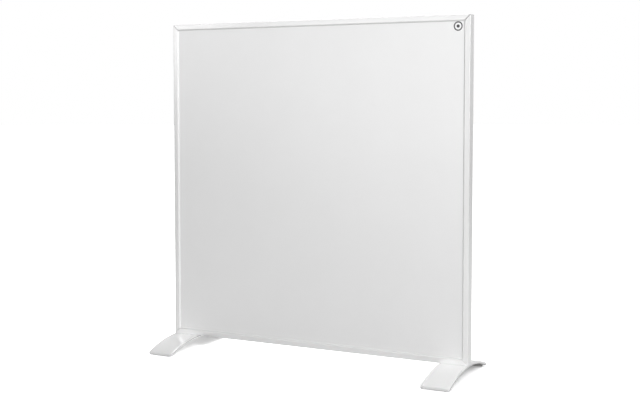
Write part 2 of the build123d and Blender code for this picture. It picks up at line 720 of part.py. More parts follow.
# ---------------------------------------------------------------------- wires
TAB_END = Y_TOP - 19.5   # free end of the switch tabs
WIRES = {
    "wire_terminal_to_switch": (
        [
            (TB_X - TB_PITCH, TB_ENTRY_Y, TB_TOP - 0.9),
            (TB_X - TB_PITCH, TB_ENTRY_Y, 141.6),
            (-3.0, TB_ENTRY_Y, 141.6),
            (SW_X, 13.6, 141.6),
            (SW_X, 13.6, SW_Z + 6),
            (SW_X, TAB_END, SW_Z + 6),
        ],
        [5.0, 12.0, 5.0, 3.2],
    ),
    "wire_switch_to_cutout": (
        [
            (SW_X, TAB_END, SW_Z - 6),
            (SW_X, 13.6, SW_Z - 6),
            (6.4, 13.6, BOX_Z - 3),
            (6.4, TRACK_Y - 1.2, BOX_Z - 3),
            (-60.0, TRACK_Y - 1.2, BOX_Z - 3),
            (CUT_X + 12.2, Y_WOOL + 7.6, CUT_Z),
        ],
        [3.2, 4.0, 5.0, 14.0],
    ),
    "wire_cutout_to_bus": (
        [
            (CUT_X - 12.2, Y_WOOL + 7.6, CUT_Z),
            (CUT_X - 60.0, TRACK_Y, CUT_Z),
            (-BUS_X, TRACK_Y, CUT_Z),
            (-BUS_X, Y_BUS + T_BUS, CUT_Z),
        ],
        [14.0, 5.0],
    ),
    "wire_neutral_to_bus": (
        [
            (TB_X, TB_ENTRY_Y, TB_TOP - 0.9),
            (TB_X, TB_ENTRY_Y, 136.8),
            (3.8, TB_ENTRY_Y, 136.8),
            (3.8, TB_ENTRY_Y, BOX_Z + 3),
            (3.8, TRACK_Y, BOX_Z + 3),
            (BUS_X, TRACK_Y, BOX_Z + 3),
            (BUS_X, Y_BUS + T_BUS, BOX_Z + 3),
        ],
        [5.0, 5.0, 5.0, 5.0, 5.0],
    ),
    "wire_earth": (
        [
            (TB_X + TB_PITCH, TB_ENTRY_Y, TB_TOP - 0.9),
            (TB_X + TB_PITCH, TB_ENTRY_Y, 131.4),
            (-8.0, TB_ENTRY_Y, 131.4),
            (-8.0, TB_ENTRY_Y + 1.5, STUD_Z),
            (STUD_X - 6.4, TB_ENTRY_Y + 1.5, STUD_Z),
            (STUD_X - 6.4, Y_BOX + 5.5, STUD_Z),
        ],
        [3.6, 4.6, 3.2, 3.0],
    ),
}
for wire_name, (points, radii) in WIRES.items():
    with BuildPart() as wire:
        with BuildLine() as route:
            run = FilletPolyline(*points, radius=radii)
        with BuildSketch(Plane(origin=run @ 0, z_dir=run % 0)):
            Circle(WIRE_R)
        sweep()
    print(
        wire_name,
        "radii", radii,
        "length %.1f" % run.length,
        "volume ratio %.4f" % (wire.part.volume / (3.14159265 * WIRE_R**2 * run.length)),
    )
    save(wire, wire_name)

# ----------------------------------------------------------- labels and badge
BADGE_X, BADGE_Z, BADGE_R = 277.8, LIFT + PANEL_H - 19.5, 8.1
with BuildPart() as badge:
    with BuildSketch(at_y(Y_FRONT)):
        with Locations((BADGE_X, BADGE_Z)):
            Circle(BADGE_R)
    extrude(amount=0.3)
save(badge, "badge")

with BuildPart() as rating_plate:
    with BuildSketch(at_y(Y_BOX + 0.3)):
        with Locations((-128.0, BOX_Z)):
            RectangleRounded(80, 45, 3)
    extrude(amount=0.3)
save(rating_plate, "rating_plate")

# ----------------------------------------------------------------------- feet
# Each foot is a flat bar rolled to an arc, with a flat land for the frame.
HALF_L = FOOT_L / 2
TOP_Z = LIFT + FOOT_LAND                 # crown of the arc before the land
DROP = TOP_Z - PAD_T - FOOT_T - 0.15     # how far the ends fall below the crown
R_TOP = (HALF_L**2 + DROP**2) / (2 * DROP)
R_LOW = R_TOP - FOOT_T
ARC_Z = TOP_Z - R_TOP


def low_z(y):
    return ARC_Z + sqrt(R_LOW**2 - y**2)


def top_z(y):
    return ARC_Z + sqrt(R_TOP**2 - y**2)


print("foot arc radius %.1f, end lower corner z %.2f" % (R_TOP, low_z(HALF_L)))

FEET = {"foot_right": FOOT_OUT - FOOT_W, "foot_left": -FOOT_OUT}
for foot_name, x0 in FEET.items():
    with BuildPart() as foot:
        with BuildSketch(Plane.YZ.offset(x0)):
            with BuildLine():
                ThreePointArc((-HALF_L, top_z(HALF_L)), (0, TOP_Z), (HALF_L, top_z(HALF_L)))
                Line((HALF_L, top_z(HALF_L)), (HALF_L, low_z(HALF_L)))
                ThreePointArc((HALF_L, low_z(HALF_L)), (0, low_z(0)), (-HALF_L, low_z(HALF_L)))
                Line((-HALF_L, low_z(HALF_L)), (-HALF_L, top_z(HALF_L)))
            make_face()
        extrude(amount=FOOT_W)
        # rounded corners in plan
        with BuildSketch(Plane.XY):
            with Locations((x0 + FOOT_W / 2, 0)):
                RectangleRounded(FOOT_W, FOOT_L, 2.5)
        extrude(amount=40, mode=Mode.INTERSECT)
        # flat land for the frame
        with BuildSketch(Plane.XY.offset(LIFT)):
            with Locations((x0 + FOOT_W / 2, 0)):
                Rectangle(FOOT_W + 4, 80)
        extrude(amount=10, mode=Mode.SUBTRACT)
        sx = 1 if x0 > 0 else -1
        with BuildSketch(Plane.XY.offset(low_z(0) - 1)):
            with Locations(*[(sx * x, FOOT_SCREW_Y) for x in FOOT_SCREW_X]):
                Circle(FOOT_SCREW_R + 0.15)
        extrude(amount=10, mode=Mode.SUBTRACT)
        with BuildSketch(Plane.XY.offset(low_z(0) - 0.2)):
            with Locations(*[(sx * x, FOOT_SCREW_Y) for x in FOOT_SCREW_X]):
                Circle(4.3)
        extrude(amount=2.1, taper=45, mode=Mode.SUBTRACT)
    save(foot, foot_name)

with BuildPart() as foot_screws:
    foot_spots = [(s * x, FOOT_SCREW_Y) for s in (1, -1) for x in FOOT_SCREW_X]
    with BuildSketch(Plane.XY.offset(low_z(0) + 0.1)):
        with Locations(*foot_spots):
            Circle(3.9)
    extrude(amount=1.8, taper=45)
    with BuildSketch(Plane.XY.offset(low_z(0) + 0.1)):
        with Locations(*foot_spots):
            Circle(FOOT_SCREW_R)
    extrude(amount=10.0)
    # hexagon sockets
    with BuildSketch(Plane.XY.offset(low_z(0) + 0.1)):
        with Locations(*foot_spots):
            RegularPolygon(1.45, 6)
    extrude(amount=1.6, mode=Mode.SUBTRACT)
save(foot_screws, "foot_screws")

PADS = {
    "pad_front_right": (1, -1),
    "pad_rear_right": (1, 1),
    "pad_front_left": (-1, -1),
    "pad_rear_left": (-1, 1),
}
PAD_OUT, PAD_IN = HALF_L - 2.0, HALF_L - 10.0
PAD_W = 36.0
for pad_name, (sx, sy) in PADS.items():
    a, b = sy * PAD_IN, sy * PAD_OUT
    m = (a + b) / 2
    with BuildPart() as pad:
        with BuildSketch(Plane.YZ.offset(sx * (FOOT_OUT - FOOT_W / 2) - PAD_W / 2)):
            with BuildLine():
                Polyline((a, low_z(a)), (a, 0), (b, 0), (b, low_z(b)))
                ThreePointArc((b, low_z(b)), (m, low_z(m)), (a, low_z(a)))
            make_face()
        extrude(amount=PAD_W)
    save(pad, pad_name)
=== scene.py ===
import json
from math import acos, atan2, cos, hypot, pi, radians, sin, sqrt

import bmesh
import bpy
from mathutils import Matrix, Vector


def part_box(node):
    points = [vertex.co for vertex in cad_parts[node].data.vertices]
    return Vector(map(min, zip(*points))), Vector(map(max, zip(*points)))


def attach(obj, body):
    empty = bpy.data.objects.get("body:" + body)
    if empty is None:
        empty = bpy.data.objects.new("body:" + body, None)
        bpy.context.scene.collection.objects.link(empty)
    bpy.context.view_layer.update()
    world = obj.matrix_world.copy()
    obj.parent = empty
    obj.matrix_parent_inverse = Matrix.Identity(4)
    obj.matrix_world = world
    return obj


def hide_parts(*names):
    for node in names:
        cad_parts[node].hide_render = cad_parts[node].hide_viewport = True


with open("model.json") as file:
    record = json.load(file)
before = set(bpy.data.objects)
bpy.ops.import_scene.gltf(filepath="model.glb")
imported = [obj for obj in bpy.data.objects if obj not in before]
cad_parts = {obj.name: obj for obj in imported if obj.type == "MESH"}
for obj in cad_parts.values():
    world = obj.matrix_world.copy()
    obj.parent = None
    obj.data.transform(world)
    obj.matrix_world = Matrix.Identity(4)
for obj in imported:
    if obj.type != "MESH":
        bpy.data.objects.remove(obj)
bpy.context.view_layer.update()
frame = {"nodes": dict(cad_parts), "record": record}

nodes = frame["nodes"]
MM = 0.001

# ------------------------------------------------------------------ main sizes
LIFT = 24.0          # underside of the frame above the floor
PANEL = 600.0        # side of the square frame
ZC = LIFT + PANEL / 2
Y_FACE = -7.8        # heating face
Y_BACK = 8.5         # rear face of the back sheet
FOOT_W, FOOT_L, FOOT_T = 50.0, 200.0, 4.0
FOOT_OUT = 299.0

# ---------------------------------------------------------------------- camera
cam_data = bpy.data.cameras.new("photo_camera")
cam = bpy.data.objects.new("photo_camera", cam_data)
bpy.context.scene.collection.objects.link(cam)
cam.location = (0.8875, -1.7543, 0.4765)
cam.rotation_euler = (radians(90 - 3.10), 0.0, radians(26.52))
cam_data.sensor_width = 36.0
cam_data.lens = 1077.0 / 640.0 * 36.0
cam_data.shift_y = -40.0 / 640.0
cam_data.clip_start, cam_data.clip_end = 0.05, 60.0
bpy.context.scene.camera = cam

bpy.context.scene.view_settings.view_transform = "Standard"
bpy.context.scene.view_settings.look = "None"


# ------------------------------------------------------------------- materials
def new_material(name):
    m = bpy.data.materials.new(name)
    m.use_nodes = True
    nt = m.node_tree
    nt.nodes.clear()
    out = nt.nodes.new("ShaderNodeOutputMaterial")
    shader = nt.nodes.new("ShaderNodeBsdfPrincipled")
    nt.links.new(shader.outputs[0], out.inputs[0])
    coord = nt.nodes.new("ShaderNodeTexCoord")
    return m, nt, shader, coord.outputs["Object"]


def noise(nt, vec, scale, detail=3.0, rough=0.5, stretch=None):
    if stretch is not None:
        mp = nt.nodes.new("ShaderNodeMapping")
        mp.inputs["Scale"].default_value = stretch
        nt.links.new(vec, mp.inputs["Vector"])
        vec = mp.outputs[0]
    n = nt.nodes.new("ShaderNodeTexNoise")
    n.inputs["Scale"].default_value = scale
    n.inputs["Detail"].default_value = detail
    n.inputs["Roughness"].default_value = rough
    nt.links.new(vec, n.inputs["Vector"])
    return n.outputs["Fac"]


def ramp(nt, fac, stops):
    r = nt.nodes.new("ShaderNodeValToRGB")
    el = r.color_ramp.elements
    while len(el) < len(stops):
        el.new(0.5)
    for e, (p, c) in zip(el, stops):
        e.position = p
        e.color = (*c, 1.0)
    nt.links.new(fac, r.inputs[0])
    return r.outputs[0]


def remap(nt, fac, lo, hi, a=0.3, b=0.7):
    r = nt.nodes.new("ShaderNodeMapRange")
    r.inputs["From Min"].default_value = a
    r.inputs["From Max"].default_value = b
    r.inputs["To Min"].default_value = lo
    r.inputs["To Max"].default_value = hi
    nt.links.new(fac, r.inputs["Value"])
    return r.outputs[0]


def bump(nt, height, distance, strength=1.0, normal=None):
    b = nt.nodes.new("ShaderNodeBump")
    b.inputs["Strength"].default_value = strength
    b.inputs["Distance"].default_value = distance
    nt.links.new(height, b.inputs["Height"])
    if normal is not None:
        nt.links.new(normal, b.inputs["Normal"])
    return b.outputs[0]


def scaled(c, k):
    return tuple(max(0.0, min(1.0, v * k)) for v in c)


def finish_material(name, color, rough, metallic=0.0, tint=0.02, tint_scale=9.0,
                    rough_var=0.05, rough_scale=40.0, layers=(), stretch=None,
                    specular=0.5, coat=0.0, coat_rough=0.1, ior=1.5):
    """Procedural finish: slow colour drift, roughness drift and layered fine relief."""
    m, nt, sh, vec = new_material(name)
    drift = noise(nt, vec, tint_scale, 4.0, 0.55, stretch)
    nt.links.new(
        ramp(nt, drift, [(0.3, scaled(color, 1 - tint)), (0.7, scaled(color, 1 + tint))]),
        sh.inputs["Base Color"],
    )
    rn = noise(nt, vec, rough_scale, 3.0, 0.6, stretch)
    nt.links.new(remap(nt, rn, rough - rough_var, rough + rough_var), sh.inputs["Roughness"])
    sh.inputs["Metallic"].default_value = metallic
    sh.inputs["Specular IOR Level"].default_value = specular
    sh.inputs["IOR"].default_value = ior
    sh.inputs["Coat Weight"].default_value = coat
    sh.inputs["Coat Roughness"].default_value = coat_rough
    normal = None
    for scale, dist, detail, st in layers:
        normal = bump(nt, noise(nt, vec, scale, detail, 0.5, st), dist, 1.0, normal)
    if normal is not None:
        nt.links.new(normal, sh.inputs["Normal"])
    return m


MAT = {}
# powder coat: fine orange peel of about 1.5 mm with a finer grain on top
PEEL = ((520.0, 0.000035, 2.0, None), (2600.0, 0.000006, 2.0, None))
MAT["face_paint"] = finish_material("face_paint", (0.84, 0.84, 0.84), 0.34, metallic=0.30, tint=0.008,
                                    rough_var=0.03, layers=PEEL)
MAT["frame_paint"] = finish_material("frame_paint", (0.85, 0.85, 0.85), 0.20, metallic=0.30, tint=0.008,
                                     rough_var=0.03, layers=PEEL)
MAT["sheet_paint"] = finish_material("sheet_paint", (0.78, 0.78, 0.775), 0.5, tint=0.012,
                                     rough_var=0.05, layers=PEEL)
MAT["foot_paint"] = finish_material("foot_paint", (0.88, 0.88, 0.88), 0.24, metallic=0.45, tint=0.008,
                                    rough_var=0.03, layers=PEEL)
MAT["bare_aluminium"] = finish_material("bare_aluminium", (0.76, 0.77, 0.78), 0.34, metallic=1.0,
                                        tint=0.05, tint_scale=60, rough_var=0.08, rough_scale=160,
                                        layers=((900.0, 0.00001, 3.0, (1, 1, 0.08)),))
MAT["zinc_steel"] = finish_material("zinc_steel", (0.66, 0.67, 0.69), 0.3, metallic=1.0,
                                    tint=0.08, tint_scale=300, rough_var=0.1, rough_scale=500,
                                    layers=((1500.0, 0.00001, 3.0, None),))
MAT["copper_strip"] = finish_material("copper_strip", (0.78, 0.42, 0.28), 0.32, metallic=1.0,
                                      tint=0.08, tint_scale=80, layers=((900.0, 0.00001, 3.0, None),))
MAT["brass"] = finish_material("brass", (0.78, 0.62, 0.32), 0.3, metallic=1.0, tint=0.08,
                               tint_scale=200, rough_scale=400, layers=((1500.0, 0.00001, 3.0, None),))
MAT["mica"] = finish_material("mica", (0.62, 0.54, 0.40), 0.35, tint=0.15, tint_scale=45,
                              layers=((300.0, 0.00003, 4.0, (1, 0.3, 1)),))
MAT["carbon_film"] = finish_material("carbon_film", (0.03, 0.03, 0.032), 0.5, tint=0.25, tint_scale=90,
                                     layers=((700.0, 0.00002, 3.0, None),))
MAT["mineral_board"] = finish_material("mineral_board", (0.68, 0.64, 0.5), 0.9, tint=0.16, tint_scale=120,
                                       layers=((600.0, 0.0004, 5.0, (1, 1, 0.3)),))
MAT["ceramic"] = finish_material("ceramic", (0.8, 0.78, 0.72), 0.45, tint=0.05, tint_scale=120,
                                 layers=((900.0, 0.00002, 3.0, None),))
SPARK = ((1100.0, 0.00004, 2.0, None), (3200.0, 0.00001, 2.0, None))
MAT["box_plastic"] = finish_material("box_plastic", (0.76, 0.76, 0.75), 0.48, tint=0.012,
                                     tint_scale=14, rough_var=0.05, layers=SPARK)
MAT["black_plastic"] = finish_material("black_plastic", (0.022, 0.022, 0.024), 0.42, tint=0.15,
                                       tint_scale=40, rough_var=0.06, layers=SPARK)
MAT["rocker_plastic"] = finish_material("rocker_plastic", (0.016, 0.016, 0.017), 0.2, tint=0.1,
                                        tint_scale=60, rough_var=0.05, rough_scale=200,
                                        layers=((700.0, 0.000006, 2.0, None),))
MAT["seal_rubber"] = finish_material("seal_rubber", (0.035, 0.035, 0.035), 0.75, tint=0.15, tint_scale=90,
                                     layers=((1600.0, 0.00003, 3.0, None),))
MAT["pad_rubber"] = finish_material("pad_rubber", (0.66, 0.66, 0.65), 0.6, tint=0.05, tint_scale=90,
                                    layers=((1400.0, 0.00004, 3.0, None),))
MAT["wire_brown"] = finish_material("wire_brown", (0.18, 0.07, 0.03), 0.4, tint=0.1, tint_scale=90,
                                    layers=((900.0, 0.00001, 2.0, None),))
MAT["wire_blue"] = finish_material("wire_blue", (0.02, 0.08, 0.36), 0.4, tint=0.1, tint_scale=90,
                                   layers=((900.0, 0.00001, 2.0, None),))
MAT["wire_green_yellow"] = finish_material("wire_green_yellow", (0.2, 0.4, 0.04), 0.4, tint=0.2,
                                           tint_scale=60, layers=((900.0, 0.00001, 2.0, None),))
MAT["badge_print"] = finish_material("badge_print", (0.06, 0.06, 0.062), 0.5, tint=0.08, tint_scale=200,
                                     layers=((1800.0, 0.000004, 2.0, None),))
MAT["badge_ground"] = finish_material("badge_ground", (0.78, 0.78, 0.78), 0.4, tint=0.01, tint_scale=60,
                                      layers=((1800.0, 0.000004, 2.0, None),))
MAT["mark_white"] = finish_material("mark_white", (0.78, 0.78, 0.77), 0.5, tint=0.03, tint_scale=300,
                                    layers=((1800.0, 0.000004, 2.0, None),))
MAT["plate_metal"] = finish_material("plate_metal", (0.74, 0.745, 0.75), 0.36, metallic=1.0, tint=0.03,
                                     tint_scale=30, rough_var=0.08, rough_scale=120,
                                     layers=((1400.0, 0.000008, 3.0, (0.03, 1, 1)),))

slot_of = {s["node"]: s["material_slot"] for s in frame["record"]["subparts"]}
for n, o in nodes.items():
    m = MAT[slot_of[n]]
    o.data.materials.clear()
    o.data.materials.append(m)


# ------------------------------------------------------------------ mesh tools
def object_from_bmesh(name, bm, mats, smooth_angle=32.0):
    me = bpy.data.meshes.new(name)
    bmesh.ops.recalc_face_normals(bm, faces=bm.faces)
    bm.to_mesh(me)
    bm.free()
    for m in mats:
        me.materials.append(m)
    for p in me.polygons:
        p.use_smooth = True
    me.set_sharp_from_angle(angle=radians(smooth_angle))
    o = bpy.data.objects.new(name, me)
    bpy.context.scene.collection.objects.link(o)
    return o


def apply_modifiers(o, smooth_angle=32.0):
    bpy.context.view_layer.update()
    dg = bpy.context.evaluated_depsgraph_get()
    me = bpy.data.meshes.new_from_object(o.evaluated_get(dg), depsgraph=dg)
    old = o.data
    o.modifiers.clear()
    o.data = me
    me.name = old.name + "_final"
    bpy.data.meshes.remove(old)
    for p in me.polygons:
        p.use_smooth = True
    me.set_sharp_from_angle(angle=radians(smooth_angle))
    return o


def bevel(o, width, segments=3, angle=35.0):
    b = o.modifiers.new("round", "BEVEL")
    b.width = width * MM
    b.segments = segments
    b.limit_method = "ANGLE"
    b.angle_limit = radians(angle)
    b.harden_normals = False
    return o


def place(o, body, slot, *replaced):
    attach(o, body)
    if replaced:
        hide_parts(*replaced)
    return o


def turned(centre, rows, n, bm=None, capped=False):
    """Solid turned about a vertical axis. Rows are (z, radius, distance to hexagon flats, rib depth).

    The last row joins the first, or both ends are closed with a flat face."""
    bm = bm or bmesh.new()
    loops = []
    for row in rows:
        z, r, flat, rib = (*row, 0, 0)[:4]
        loop = []
        for i in range(n):
            a = 2 * pi * i / n
            rad = min(r, flat / cos(a % (pi / 3) - pi / 6)) if flat else r
            rad -= rib * (0.5 + 0.5 * cos(24 * a)) ** 2
            loop.append(bm.verts.new(((centre[0] + rad * cos(a)) * MM, (centre[1] + rad * sin(a)) * MM, z * MM)))
        loops.append(loop)
    pairs = list(zip(loops, loops[1:]))
    if capped:
        bm.faces.new(loops[0])
        bm.faces.new(loops[-1])
    else:
        pairs.append((loops[-1], loops[0]))
    for p, q in pairs:
        for i in range(n):
            bm.faces.new((p[i], q[i], q[(i + 1) % n], p[(i + 1) % n]))
    return bm


def turned_group(name, parts, n):
    bm = bmesh.new()
    for centre, rows in parts:
        turned(centre, rows, n, bm, True)
    return object_from_bmesh(name, bm, [])


# ------------------------------------------------------------------------ feet
HALF_L = FOOT_L / 2
TOP_Z = LIFT + 0.2
DROP = TOP_Z - 1.2 - FOOT_T - 0.15
R_TOP = (HALF_L**2 + DROP**2) / (2 * DROP)
R_LOW = R_TOP - FOOT_T
ARC_Z = TOP_Z - R_TOP


def foot_top(y):
    return min(ARC_Z + sqrt(R_TOP**2 - y**2), LIFT)


def foot_low(y):
    return ARC_Z + sqrt(R_LOW**2 - y**2)


def make_foot(name, x0, node):
    """Arched bar with rolled corners in plan and rounded edges."""
    rc = 2.5
    stations = []
    n = 60
    for i in range(n + 1):
        stations.append(-HALF_L + rc + (FOOT_L - 2 * rc) * i / n)
    for i in range(6):
        t = rc * (1 - cos(pi / 2 * i / 6))
        stations += [-HALF_L + rc - rc * sin(pi / 2 * (i + 1) / 6), HALF_L - rc + rc * sin(pi / 2 * (i + 1) / 6)]
    flat = sqrt(R_TOP**2 - (LIFT - ARC_Z) ** 2)
    stations += [-flat, flat]
    stations = sorted(set(round(s, 5) for s in stations))
    bm = bmesh.new()
    cols = 9
    rows = []
    for y in stations:
        over = abs(y) - (HALF_L - rc)
        w = FOOT_W / 2 if over <= 0 else FOOT_W / 2 - rc + sqrt(max(rc * rc - over * over, 0))
        top, low = [], []
        for j in range(cols):
            x = x0 + FOOT_W / 2 + w * (-1 + 2 * j / (cols - 1))
            top.append(bm.verts.new((x * MM, y * MM, foot_top(y) * MM)))
            low.append(bm.verts.new((x * MM, y * MM, foot_low(y) * MM)))
        rows.append((top, low))
    for (t0, l0), (t1, l1) in zip(rows, rows[1:]):
        for j in range(cols - 1):
            bm.faces.new((t0[j], t0[j + 1], t1[j + 1], t1[j]))
            bm.faces.new((l0[j], l1[j], l1[j + 1], l0[j + 1]))
        for j in (0, cols - 1):
            bm.faces.new((t0[j], t1[j], l1[j], l0[j]))
    for t, l in (rows[0], rows[-1]):
        for j in range(cols - 1):
            bm.faces.new((t[j], l[j], l[j + 1], t[j + 1]))
    o = object_from_bmesh(name, bm, [MAT["foot_paint"]])
    bevel(o, 0.6, 3, 50)
    apply_modifiers(o, 40)
    # countersunk holes for the two screws that hold the frame
    side = 1 if x0 > 0 else -1
    holes = turned_group(
        "hole_cutter",
        [((side * x, 0.45), [(18.5, 5.8), (20.0, 4.3), (22.15, 2.15), (26.0, 2.15)]) for x in (262.0, 287.0)],
        64,
    )
    cut = o.modifiers.new("holes", "BOOLEAN")
    cut.operation = "DIFFERENCE"
    cut.solver = "EXACT"
    cut.object = holes
    apply_modifiers(o, 40)
    old = holes.data
    bpy.data.objects.remove(holes)
    bpy.data.meshes.remove(old)
    return place(o, "heater", "foot_paint", node)


make_foot("arched_foot_right", FOOT_OUT - FOOT_W, "foot_right")
make_foot("arched_foot_left", -FOOT_OUT, "foot_left")


# ------------------------------------------------------------------ cord gland
def make_gland():
    """Moulded gland: hexagon flange with turned corners, domed and ribbed clamping nut."""
    centre = (-28.0, 22.0)
    nut, body = 9.786, 9.959
    o = object_from_bmesh("gland_nut_domed", turned(centre, [
        (79.4, 8.1), (79.4, 10.3, nut), (79.2, 10.8, nut), (78.6, 11.3, nut), (71.6, 11.3, nut),
        (71.0, 10.9, nut), (70.6, 10.4, nut), (70.4, 9.75), (69.95, 9.62), (69.5, 9.5, 0, 0.2),
        (69.0, 9.25, 0, 0.4), (68.1, 8.7, 0, 0.45), (67.3, 8.0, 0, 0.4), (66.7, 7.35, 0, 0.2),
        (66.25, 6.6), (66.03, 6.0), (66.0, 5.7), (66.0, 4.7), (66.12, 4.3), (66.5, 4.1), (68.9, 4.1),
        (68.9, 6.4), (71.8, 6.4), (71.8, 8.1)], 192), [MAT["black_plastic"]], 30)
    place(o, "heater", "black_plastic", "gland_nut")
    o = object_from_bmesh("gland_body_flanged", turned(centre, [
        (93.0, 5.0), (93.0, 7.6), (92.6, 8.0), (86.0, 8.0), (86.0, 11.4, body), (81.0, 11.5, body),
        (80.5, 11.2, body), (80.1, 10.8, body), (80.0, 10.5, body), (80.0, 8.0), (72.4, 8.0),
        (72.0, 7.6), (72.0, 6.3), (84.0, 6.3), (84.0, 5.0)], 192), [MAT["black_plastic"]], 30)
    place(o, "heater", "black_plastic", "gland_body")


make_gland()


# --------------------------------------------------------------- rocker switch
def make_rocker():
    """Dished rocker at its off position, with a plain bar and a plain ring on its two ends."""
    tilt, reach, half, pivot = radians(10.0), 8.8, 5.35, (32.0, 38.2, 116.0)

    def at(u, v, x):
        return Vector((pivot[0] + x, pivot[1] + u * sin(tilt) + v * cos(tilt),
                       pivot[2] + u * cos(tilt) - v * sin(tilt))) * MM

    def face(u):
        return 1.9 + 1.7 / 12 * (sqrt(u * u + 0.64) - 0.8)

    outline = [(u, face(u)) for u in [-8.24 + 16.48 * i / 40 for i in range(41)]]
    a0, a1 = atan2(face(8.24), 8.24), -0.4216
    outline += [(reach * cos(a0 + (a1 - a0) * i / 12), reach * sin(a0 + (a1 - a0) * i / 12)) for i in range(1, 13)]
    outline += [(-u, v) for u, v in outline[:40:-1]]
    bm = bmesh.new()
    ends = [[bm.verts.new(at(u, v, x)) for u, v in outline] for x in (-half, half)]
    n = len(outline)
    for i in range(n):
        bm.faces.new((ends[0][i], ends[1][i], ends[1][(i + 1) % n], ends[0][(i + 1) % n]))
    bm.faces.new(ends[0])
    bm.faces.new(ends[1])
    o = object_from_bmesh("rocker_dished", bm, [MAT["rocker_plastic"], MAT["mark_white"]])
    bevel(o, 0.35, 3, 40)
    apply_modifiers(o, 35)
    # pins and printed marks, each a closed shape of its own
    bm = bmesh.new()
    bm.from_mesh(o.data)
    for x0, x1 in ((-6.55, -5.0), (5.0, 6.55)):
        rings = [[bm.verts.new(at(cos(2 * pi * i / 32), sin(2 * pi * i / 32), x)) for i in range(32)] for x in (x0, x1)]
        for i in range(32):
            bm.faces.new((rings[0][i], rings[1][i], rings[1][(i + 1) % 32], rings[0][(i + 1) % 32]))
        bm.faces.new(rings[0])
        bm.faces.new(rings[1])

    def strip(inner, outer):
        """Closed band between two loops of (u, x), printed on the dished face."""
        m = len(inner)
        loops = [[bm.verts.new(at(u, face(u) + h, x)) for u, x in loop]
                 for loop, h in ((inner, -0.1), (inner, 0.05), (outer, 0.05), (outer, -0.1))]
        for q in range(4):
            p, r = loops[q], loops[(q + 1) % 4]
            for i in range(m):
                bm.faces.new((p[i], r[i], r[(i + 1) % m], p[(i + 1) % m])).material_index = 1

    circle = [(2 * pi * i / 64) for i in range(64)]
    strip([(-5.1 + 1.15 * cos(a), 1.15 * sin(a)) for a in circle], [(-5.1 + 1.75 * cos(a), 1.75 * sin(a)) for a in circle])
    bar = [(5.1 - 1.75, -0.32), (5.1 - 1.75, 0.32), (5.1 + 1.75, 0.32), (5.1 + 1.75, -0.32)]
    tops = [bm.verts.new(at(u, face(u) + 0.05, x)) for u, x in bar]
    lows = [bm.verts.new(at(u, face(u) - 0.1, x)) for u, x in bar]
    for quad in [tops, lows[::-1]] + [[tops[i], lows[i], lows[(i + 1) % 4], tops[(i + 1) % 4]] for i in range(4)]:
        bm.faces.new(quad).material_index = 1
    bmesh.ops.recalc_face_normals(bm, faces=bm.faces)
    bm.to_mesh(o.data)
    bm.free()
    for p in o.data.polygons:
        p.use_smooth = True
    o.data.set_sharp_from_angle(angle=radians(35))
    place(o, "rocker", "rocker_plastic", "rocker")


make_rocker()


# ---------------------------------------------------------------- rating plate
def rounded_rectangle(cx, cz, w, h, r, steps=10):
    pts = []
    for sx, sz, start in ((1, 1, 0.0), (-1, 1, pi / 2), (-1, -1, pi), (1, -1, 3 * pi / 2)):
        for i in range(steps + 1):
            a = start + pi / 2 * i / steps
            pts.append((cx + sx * (w / 2 - r) + r * cos(a), cz + sz * (h / 2 - r) + r * sin(a)))
    return pts


def make_plate():
    """Bare plate with rolled edges and one thin border line."""
    lo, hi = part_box("rating_plate")
    cx, cz = (lo.x + hi.x) / 2 / MM, (lo.z + hi.z) / 2 / MM
    w, h, y0, y1 = (hi.x - lo.x) / MM, (hi.z - lo.z) / MM, lo.y / MM, hi.y / MM
    rows = [(0.0, y0, 0), (0.0, y1 - 0.12, 0), (0.12, y1, 0), (2.0, y1, 1), (2.45, y1, 0), (18.0, y1, 0)]
    bm = bmesh.new()
    loops = []
    for inset, y, _ in rows:
        loops.append([bm.verts.new((x * MM, y * MM, z * MM)) for x, z in
                      rounded_rectangle(cx, cz, w - 2 * inset, h - 2 * inset, max(3.0 - inset, 0.6))])
    m = len(loops[0])
    for q in range(len(loops) - 1):
        for i in range(m):
            f = bm.faces.new((loops[q][i], loops[q + 1][i], loops[q + 1][(i + 1) % m], loops[q][(i + 1) % m]))
            f.material_index = rows[q][2]
    bm.faces.new(loops[-1])
    bm.faces.new(loops[0])
    o = object_from_bmesh("blank_plate", bm, [MAT["plate_metal"], MAT["badge_print"]])
    place(o, "heater", "plate_metal", "rating_plate")


make_plate()


